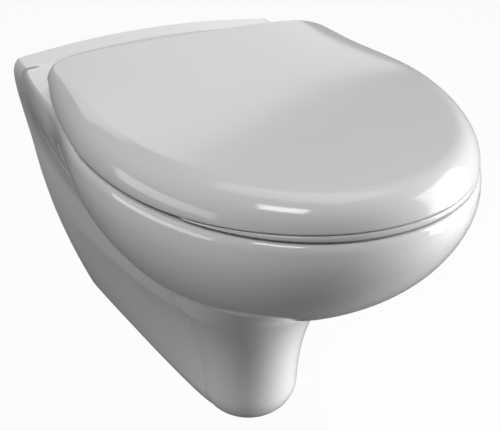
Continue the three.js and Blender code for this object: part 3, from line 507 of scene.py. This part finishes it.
def lid_half_width(y):
    back = power((y + LID_WIDEST) / (LID_WIDEST - LID_BACK), LID_REAR_POWER)
    into = np.maximum(0, y + LID_BACK + LID_CORNER)
    corner = LID_CORNER - np.sqrt(np.maximum(0, LID_CORNER ** 2 - into ** 2))
    rear = LID_HALF_WIDTH - (LID_HALF_WIDTH - LID_BACK_HALF_WIDTH) * back - corner
    front = egg(y, LID_HALF_WIDTH, LID_REACH, LID_WIDEST, LID_FRONT_POWER)
    return np.where(y < -LID_WIDEST, front, rear)


def lid_reach(angle):
    return reach_of(
        lambda x, y: (y < -LID_BACK) & (np.abs(x) < lid_half_width(y)),
        -OVAL_CENTRE, angle, LID_REACH)


def lid_fall(x, y):
    side = power(np.abs(x) / LID_BACK_HALF_WIDTH, LID_FALL_POWER)
    return LID_SIDE_FALL * side * smooth(y, -LID_FALL_FROM, -LID_BACK)


def lid_low(reach, angle):
    """Rise of the lid's lower edge."""
    x, y = reach * np.cos(angle), -OVAL_CENTRE + reach * np.sin(angle)
    front_lift = LID_FRONT_RISE - LID_SKIRT_RISE
    back_lift = LID_BACK_RISE - LID_SKIRT_RISE - lid_fall(x, y)
    front = smooth(y, -LID_FRONT_FROM, -LID_FRONT_FULL) * front_lift
    back = smooth(y, -LID_BACK_FROM, -LID_BACK_FULL) * back_lift
    return LID_SKIRT_RISE + front + back


def lid_column(angle, reach):
    """Points of the lid along one angle: from the middle over the top, round the edge, and
    back to the middle along the underside."""
    low = float(lid_low(reach, angle))
    edge_y = -OVAL_CENTRE + reach * math.sin(angle)
    roll = lerp(LID_ROLL, LID_BACK_ROLL, float(smooth(edge_y, -LID_ROLL_FROM, -LID_BACK)))

    def at(r, z, top):
        point = polar(r, angle, -OVAL_CENTRE, RIM + z)
        lift = LID_CROWN * (1 - (r / reach) ** 2) - lid_fall(point[..., 0], point[..., 1])
        point[..., 2] += lift * np.clip((z - low) / (top - low), 0, 1)
        return point

    def flat(part, top):
        return at((reach - roll) * part, np.full(len(part), float(top)), top)

    def shell(inset, roll_in, top, count):
        height = top - LID_WIDE_RISE
        lowest = max(low + LID_THICK / 3, LID_WIDE_RISE)
        last = math.asin(min(1, (lowest - LID_WIDE_RISE) / height))
        turn = np.linspace(math.pi / 2, last, count)
        r = reach - inset - roll_in * (1 - np.cos(turn))
        return r, LID_WIDE_RISE + height * np.sin(turn)

    ceiling = LID_TOP - LID_THICK
    r_out, z_out = shell(0, roll, LID_TOP, LID_OUTER_ROWS)
    r_in, z_in = shell(LID_THICK, roll - LID_THICK / 2, ceiling, LID_INNER_ROWS)
    below = GAP * max(0, LID_WIDE_RISE - low) / 2
    far, near = r_out[-1] - below, r_in[-1] + below
    round_r, round_z = quarter_round(LID_EDGE_ROUND, LID_EDGE_ROWS)
    return np.concatenate([
        flat(LID_FLAT_ROWS, LID_TOP),
        at(r_out, z_out, LID_TOP),
        at(far - round_r, low + round_z, LID_TOP),
        at(near + round_r[::-1], low + round_z[::-1], ceiling),
        at(r_in[::-1], z_in[::-1], ceiling),
        flat(LID_FLAT_ROWS[::-1], ceiling),
    ])


# Eyes on the hinge axis, which the lid and the seat ring have beside each knuckle

def along_axis(name, radius, x, half):
    return tube(name, radius, (x - half, -HINGE_SETBACK, AXIS_Z),
                (x + half, -HINGE_SETBACK, AXIS_Z), PIN_AROUND)


def with_eyes(obj, out, arm):
    """The body with two eyes, out from the hinges' middles, and an arm to each eye."""
    parts, cuts = [], []
    for side in (-1, 1):
        x, half = side * (HINGE_SPACING / 2 + out), EYE_WIDTH / 2
        parts += [arm(x, half), along_axis("eye", EYE_RADIUS, x, half)]
        cuts.append(along_axis("pin_hole", PIN_RADIUS + GAP, x, half + PAST / 2))
    return cut(joined(obj, *parts), *cuts)


def lid_hanger(x, half):
    return block("hanger", (x - half, -HINGE_SETBACK - EYE_RADIUS, AXIS_Z),
                 (x + half, -HINGE_SETBACK + EYE_RADIUS, RIM + LID_TOP - LID_THICK / 2))


def seat_arm(x, half):
    return block("arm", (x - half, -HINGE_SETBACK - SEAT_ARM_LENGTH, AXIS_Z - EYE_RADIUS),
                 (x + half, -HINGE_SETBACK, AXIS_Z + EYE_RADIUS / 2))


def make_lid():
    angles = angles_of(LID_AROUND)
    columns = [lid_column(a, r) for a, r in zip(angles, lid_reach(angles))]
    lid = ring_body("lid_moulded", np.array(columns).transpose(1, 0, 2))
    return with_eyes(lid, -EYE_OUT, lid_hanger)


# Seat ring

def in_seat_hole(x, y):
    half = (SEAT_HOLE_FRONT - SEAT_HOLE_BACK) / 2
    middle = (SEAT_HOLE_FRONT + SEAT_HOLE_BACK) / 2
    across = power(np.abs(x) / SEAT_HOLE_HALF_WIDTH, OVAL_POWER)
    return across + power(np.abs(y + middle) / half, OVAL_POWER) < 1


def through(points, count):
    """A smooth line through points, with count steps from each to the next."""
    p = np.array([2 * points[0] - points[1], *points, 2 * points[-1] - points[-2]])
    t = np.linspace(0, 1, count, endpoint=False)[:, None]
    line = []
    for a, b, c, d in zip(p, p[1:], p[2:], p[3:]):
        line.extend(0.5 * (2 * b + (c - a) * t + (2 * a - 5 * b + 4 * c - d) * t ** 2
                           + (3 * b - a - 3 * c + d) * t ** 3))
    return np.array([*line, p[-2]])


def seat_column(angle, lid, hole):
    """Points round the seat ring's section along one angle: its outer side, over the crown to
    the hole, and back along the hollow underside."""
    up = math.sin(angle)
    low = LID_SKIRT_RISE if up > 0 else float(lid_low(lid, angle))
    shown = float(smooth(low, SEAT_GAP + SEAT_SHOW, SEAT_GAP + 2 * SEAT_SHOW))
    out = lerp(SEAT_SIDE_INSET, SEAT_FRONT_INSET, shown)
    to_back = (OVAL_CENTRE - SEAT_BACK) / up if up > 0 else 2 * lid
    outer = -float(blended_max(-lid, -to_back - out, SEAT_CORNER))

    def at(part, inset, z):
        return polar(lerp(hole, outer, part) - inset, angle, -OVAL_CENTRE, RIM + z)

    band = max(low - LID_GAP, SEAT_GAP + 4 * GAP)
    deep = SEAT_GAP + SEAT_RECESS
    edge = min(SEAT_EDGE_ROUND, (band - SEAT_GAP) / 3)
    starting, ending = quarter_round(edge, SEAT_EDGE_ROWS)
    side = [at(1, out + inset, SEAT_GAP + lift) for inset, lift in zip(ending, starting)]
    side += [at(1, out + inset, band - fall) for inset, fall in zip(starting, ending)]
    crown = through([at(1, SEAT_TUCK, band + GAP)] + [
        at(part, inset, lerp(SEAT_GAP, SEAT_TOP, rise)) for part, inset, rise in SEAT_CROWN
    ], SEAT_CROWN_STEPS)
    under = [
        at(0, -GAP * 3, SEAT_GAP), at(0, -SEAT_WALL, SEAT_GAP), at(0, -SEAT_WALL - GAP, deep),
        at(1, SEAT_TUCK + SEAT_WALL, deep), at(1, out + SEAT_WALL, SEAT_GAP)]
    return np.array([*side, *crown, *under])


def make_seat():
    angles = angles_of(SEAT_AROUND)
    holes = reach_of(in_seat_hole, -OVAL_CENTRE, angles, LID_REACH)
    columns = [seat_column(a, r, h) for a, r, h in zip(angles, lid_reach(angles), holes)]
    seat = ring_body("seat_moulded", np.array(columns).transpose(1, 0, 2), closed=True)
    slot = KNUCKLE_WIDTH / 2 + 2 * HINGE_GAP
    slot_front = -NECK_SETBACK - NECK_DEPTH / 2 - 4 * HINGE_GAP
    slotted = cut(seat, *[
        block("slot", (x - slot, slot_front, RIM), (x + slot, 0, RIM + 2 * SEAT_TOP))
        for x in (-HINGE_SPACING / 2, HINGE_SPACING / 2)])
    return with_eyes(slotted, EYE_OUT, seat_arm)


# Materials. Noise fills the middle of its range, so its low and high ends are cut off.

NOISE_LOW, NOISE_HIGH = 0.3, 0.7


def nodes_of(name):
    material = bpy.data.materials.new(name)
    material.use_nodes = True
    tree = material.node_tree
    shader = tree.nodes["Principled BSDF"]
    return material, tree, shader


def place_of(tree, stretch=(1, 1, 1)):
    """Object coordinates in metres, stretched along the axes."""
    where = tree.nodes.new("ShaderNodeTexCoord")
    mapping = tree.nodes.new("ShaderNodeMapping")
    mapping.inputs["Scale"].default_value = stretch
    tree.links.new(where.outputs["Object"], mapping.inputs["Vector"])
    return mapping.outputs["Vector"]


def noise(tree, place, scale, detail=3.0, rough=0.5):
    node = tree.nodes.new("ShaderNodeTexNoise")
    node.inputs["Scale"].default_value = scale
    node.inputs["Detail"].default_value = detail
    node.inputs["Roughness"].default_value = rough
    tree.links.new(place, node.inputs["Vector"])
    return node.outputs["Fac"]


def between(tree, factor, low, high):
    node = tree.nodes.new("ShaderNodeMapRange")
    node.inputs["From Min"].default_value = NOISE_LOW
    node.inputs["From Max"].default_value = NOISE_HIGH
    node.inputs["To Min"].default_value = low
    node.inputs["To Max"].default_value = high
    tree.links.new(factor, node.inputs["Value"])
    return node.outputs["Result"]


def tones(tree, factor, dark, light):
    node = tree.nodes.new("ShaderNodeValToRGB")
    for stop, place, colour in zip(
            node.color_ramp.elements, (NOISE_LOW, NOISE_HIGH), (dark, light)):
        stop.position = place
        stop.color = (*colour, 1)
    tree.links.new(factor, node.inputs["Fac"])
    return node.outputs["Color"]


def surface(tree, shader, colour, roughness):
    tree.links.new(colour, shader.inputs["Base Color"])
    tree.links.new(roughness, shader.inputs["Roughness"])


def bump(tree, shader, height, strength, depth):
    """Bump of a depth in metres, over the bump that the shader has already."""
    node = tree.nodes.new("ShaderNodeBump")
    node.inputs["Strength"].default_value = strength
    node.inputs["Distance"].default_value = depth
    tree.links.new(height, node.inputs["Height"])
    normal = shader.inputs["Normal"]
    if normal.is_linked:
        tree.links.new(normal.links[0].from_socket, node.inputs["Normal"])
    tree.links.new(node.outputs["Normal"], normal)


def glazed_ceramic():
    """Opaque white body under a clear glaze: faint slow waves, tiny pits, slight unevenness
    in its gloss."""
    material, tree, shader = nodes_of("ceramic_glaze")
    place = place_of(tree)
    surface(
        tree, shader,
        tones(tree, noise(tree, place, scale=6),
              dark=(0.86, 0.86, 0.855), light=(0.88, 0.88, 0.875)),
        between(tree, noise(tree, place, scale=45), low=0.05, high=0.11))
    shader.inputs["IOR"].default_value = 1.54
    shader.inputs["Coat Weight"].default_value = 0.35
    shader.inputs["Coat Roughness"].default_value = 0.02
    waves = noise(tree, place, scale=11, detail=2)
    pits = noise(tree, place, scale=900, detail=2, rough=0.7)
    bump(tree, shader, waves, strength=0.35, depth=0.0012)
    bump(tree, shader, pits, strength=0.02, depth=0.0002)
    return material


def moulded_gloss():
    """Hard polished white plastic with a faint moulding ripple and hairline wear in its gloss."""
    material, tree, shader = nodes_of("moulded_gloss")
    place = place_of(tree)
    hairs = noise(tree, place_of(tree, stretch=(900, 30, 300)), scale=1, detail=2)
    surface(
        tree, shader,
        tones(tree, noise(tree, place, scale=5),
              dark=(0.765, 0.765, 0.762), light=(0.785, 0.785, 0.783)),
        between(tree, hairs, low=0.09, high=0.16))
    shader.inputs["IOR"].default_value = 1.5
    ripple = noise(tree, place, scale=14, detail=1)
    grain = noise(tree, place, scale=700, detail=2)
    bump(tree, shader, ripple, strength=0.25, depth=0.0006)
    bump(tree, shader, grain, strength=0.015, depth=0.0001)
    return material


def moulded_matt():
    """Plain moulded plastic: fine spark-eroded grain."""
    material, tree, shader = nodes_of("moulded_matt")
    place = place_of(tree)
    surface(
        tree, shader,
        tones(tree, noise(tree, place, scale=60),
              dark=(0.70, 0.70, 0.68), light=(0.76, 0.76, 0.74)),
        between(tree, noise(tree, place, scale=300), low=0.38, high=0.55))
    grain = noise(tree, place, scale=1800, rough=0.7)
    bump(tree, shader, grain, strength=0.25, depth=0.0001)
    return material


def soft_rubber():
    """Pale dull rubber with a fine grain."""
    material, tree, shader = nodes_of("soft_rubber")
    place = place_of(tree)
    surface(
        tree, shader,
        tones(tree, noise(tree, place, scale=80),
              dark=(0.62, 0.62, 0.60), light=(0.69, 0.69, 0.67)),
        between(tree, noise(tree, place, scale=200), low=0.6, high=0.8))
    grain = noise(tree, place, scale=1400, rough=0.7)
    bump(tree, shader, grain, strength=0.35, depth=0.00015)
    return material


def bright_metal(name, dark, light, rough, stretch):
    """Drawn or plated steel: fine lines along the piece and cloudy plating."""
    material, tree, shader = nodes_of(name)
    lines = noise(tree, place_of(tree, stretch), scale=1)
    clouds = noise(tree, place_of(tree), scale=120)
    surface(tree, shader, tones(tree, clouds, dark, light), between(tree, lines, *rough))
    shader.inputs["Metallic"].default_value = 1
    bump(tree, shader, lines, strength=0.15, depth=0.0001)
    return material


ceramic, gloss, matt, rubber = glazed_ceramic(), moulded_gloss(), moulded_matt(), soft_rubber()
zinc = bright_metal(
    "zinc_plate", dark=(0.50, 0.51, 0.53), light=(0.62, 0.62, 0.61), rough=(0.28, 0.48),
    stretch=(2500, 60, 2500))
steel = bright_metal(
    "stainless", dark=(0.56, 0.56, 0.55), light=(0.66, 0.66, 0.65), rough=(0.2, 0.34),
    stretch=(60, 2500, 2500))


def clothe(obj, material):
    obj.data.materials.clear()
    obj.data.materials.append(material)


# The three large pieces, made finer than the solids they stand for

for obj, node, body, material, slot in (
    (make_pan(), "pan", "pan_body", ceramic, "ceramic"),
    (make_lid(), "lid", "lid_body", gloss, "seat_plastic"),
    (make_seat(), "seat_ring", "seat", gloss, "seat_plastic"),
):
    obj.data.shade_smooth()
    obj.data.set_sharp_from_angle(angle=SHARP)
    clothe(obj, material)
    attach(obj, body)
    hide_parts(node)

# The small pieces keep their solids, with welded corners and softened edges. Each kind has a
# material and the width of its softened edges in millimetres.

WELD_WITHIN = 0.02
SOFT_SEGMENTS, SOFT_FROM = 2, math.radians(40)

finish_of = {
    "hinge_base": (gloss, 0.6), "hinge_pin": (steel, 0.3), "hinge_gasket": (rubber, 0.2),
    "hinge_bolt": (steel, 0.4), "hinge_cone": (rubber, 0.4), "hinge_nut": (matt, 0.6),
    "wall_stud": (zinc, 0.3), "stud_sleeve": (matt, 0.4), "stud_washer": (zinc, 0.3),
    "stud_nut": (zinc, 0.5), "seat_buffer": (rubber, 0.5), "lid_buffer": (rubber, 0.5),
}
for name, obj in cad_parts.items():
    kind = next((kind for kind in finish_of if name.startswith(kind)), None)
    if kind is None:
        continue
    material, width = finish_of[kind]
    clothe(obj, material)
    weld = obj.modifiers.new("weld", "WELD")
    weld.merge_threshold = WELD_WITHIN * MM
    soften = obj.modifiers.new("soften", "BEVEL")
    soften.width = width * MM
    soften.segments = SOFT_SEGMENTS
    soften.limit_method = "ANGLE"
    soften.angle_limit = SOFT_FROM
    soften.harden_normals = True
    obj.data.shade_smooth()


# Studio

def softbox(name, where, towards, size, energy, roll=0):
    """A lamp with a rectangular face, turned by roll about its own direction."""
    light = bpy.data.lights.new(name, "AREA")
    light.shape = "RECTANGLE"
    light.size, light.size_y = size
    light.energy = energy
    obj = bpy.data.objects.new(name, light)
    obj.location = where
    facing = (Vector(towards) - Vector(where)).to_track_quat("-Z", "Y")
    obj.rotation_euler = (facing @ Quaternion((0, 0, 1), roll)).to_euler()
    bpy.context.scene.collection.objects.link(obj)


softbox("top", (0.1, -0.2, 1.7), towards=(0, -0.27, 0), size=(1.6, 1.2), energy=9.5)
softbox("front_top", (-0.85, -1.15, 1.3), towards=(0, -0.35, 0), size=(0.7, 0.4), energy=9)
softbox("right", (1.4, -0.85, 0.25), towards=(0, -0.3, -0.05), size=(1.2, 1.5), energy=26)
softbox("low_right", (1.15, -0.8, -0.22), towards=(0, -0.25, -0.2), size=(0.5, 0.35), energy=9)
softbox("left", (-1.9, 0.1, -0.05), towards=(0, -0.2, -0.1), size=(1.8, 0.6), energy=9)
softbox("behind", (0.36, 1.7, 0.8), towards=(0, -0.3, 0.1), size=(1.9, 0.9), energy=6,
        roll=math.radians(25))

# The camera sees the floor and the world as white. Other rays meet a darker floor and a faint
# world, so that neither lights the object from below.
FLOOR_Z, FLOOR_HALF = -0.42, 6.0
FLOOR_WHITE, FLOOR_ROUGHNESS = 0.95, 0.9
FLOOR_DARK, FLOOR_LIGHT, FLOOR_UNSEEN = (0.78, 0.78, 0.78), (0.8, 0.8, 0.8), (0.16, 0.16, 0.16)
WORLD_FILL, WORLD_SEEN, WHITE = 0.03, 1.0, (1, 1, 1, 1)


def seen_by_camera(tree):
    return tree.nodes.new("ShaderNodeLightPath").outputs["Is Camera Ray"]


def mix_into(tree, output, factor, first, second):
    """Sends a mix of two shaders to the output, the second where the factor is 1."""
    mix = tree.nodes.new("ShaderNodeMixShader")
    tree.links.new(factor, mix.inputs["Fac"])
    tree.links.new(first, mix.inputs[1])
    tree.links.new(second, mix.inputs[2])
    tree.links.new(mix.outputs[0], tree.nodes[output].inputs["Surface"])


def pale_floor():
    """Matt paper that keeps shadows under a strong white for the camera."""
    material, tree, shader = nodes_of("floor_paper")
    seen = seen_by_camera(tree)
    shade = tree.nodes.new("ShaderNodeMix")
    shade.data_type = "RGBA"
    shade.inputs["A"].default_value = (*FLOOR_UNSEEN, 1)
    paper = tones(tree, noise(tree, place_of(tree), scale=3), FLOOR_DARK, FLOOR_LIGHT)
    tree.links.new(paper, shade.inputs["B"])
    tree.links.new(seen, shade.inputs["Factor"])
    tree.links.new(shade.outputs["Result"], shader.inputs["Base Color"])
    shader.inputs["Roughness"].default_value = FLOOR_ROUGHNESS
    share = tree.nodes.new("ShaderNodeMath")
    share.operation = "MULTIPLY"
    share.inputs[1].default_value = FLOOR_WHITE
    tree.links.new(seen, share.inputs[0])
    white = tree.nodes.new("ShaderNodeEmission")
    mix_into(tree, "Material Output", share.outputs[0], shader.outputs[0], white.outputs[0])
    return material


floor_mesh = bpy.data.meshes.new("floor")
floor_mesh.from_pydata([
    (x * FLOOR_HALF, y * FLOOR_HALF, FLOOR_Z) for x, y in ((-1, -1), (1, -1), (1, 1), (-1, 1))
], [], [(0, 1, 2, 3)])
floor = bpy.data.objects.new("floor", floor_mesh)
bpy.context.scene.collection.objects.link(floor)
floor.data.materials.append(pale_floor())

world = bpy.data.worlds.new("studio")
bpy.context.scene.world = world
world.use_nodes = True
tree = world.node_tree
fill, backdrop = tree.nodes["Background"], tree.nodes.new("ShaderNodeBackground")
for background, strength in ((fill, WORLD_FILL), (backdrop, WORLD_SEEN)):
    background.inputs["Color"].default_value = WHITE
    background.inputs["Strength"].default_value = strength
mix_into(tree, "World Output", seen_by_camera(tree), fill.outputs[0], backdrop.outputs[0])

# Camera, at the photograph's viewing angle

CAMERA_LENS, CAMERA_SENSOR = 91.59, 36
CAMERA_PLACE, CAMERA_DIRECTION = (-0.5029, -1.3012, 0.5662), (0.38895, 0.79710, -0.46190)

camera = bpy.data.objects.new("camera", bpy.data.cameras.new("camera"))
camera.data.lens = CAMERA_LENS
camera.data.sensor_width = CAMERA_SENSOR
camera.location = CAMERA_PLACE
camera.rotation_euler = Vector(CAMERA_DIRECTION).to_track_quat("-Z", "Y").to_euler()
bpy.context.scene.collection.objects.link(camera)
bpy.context.scene.camera = camera

bpy.context.scene.view_settings.view_transform = "Standard"
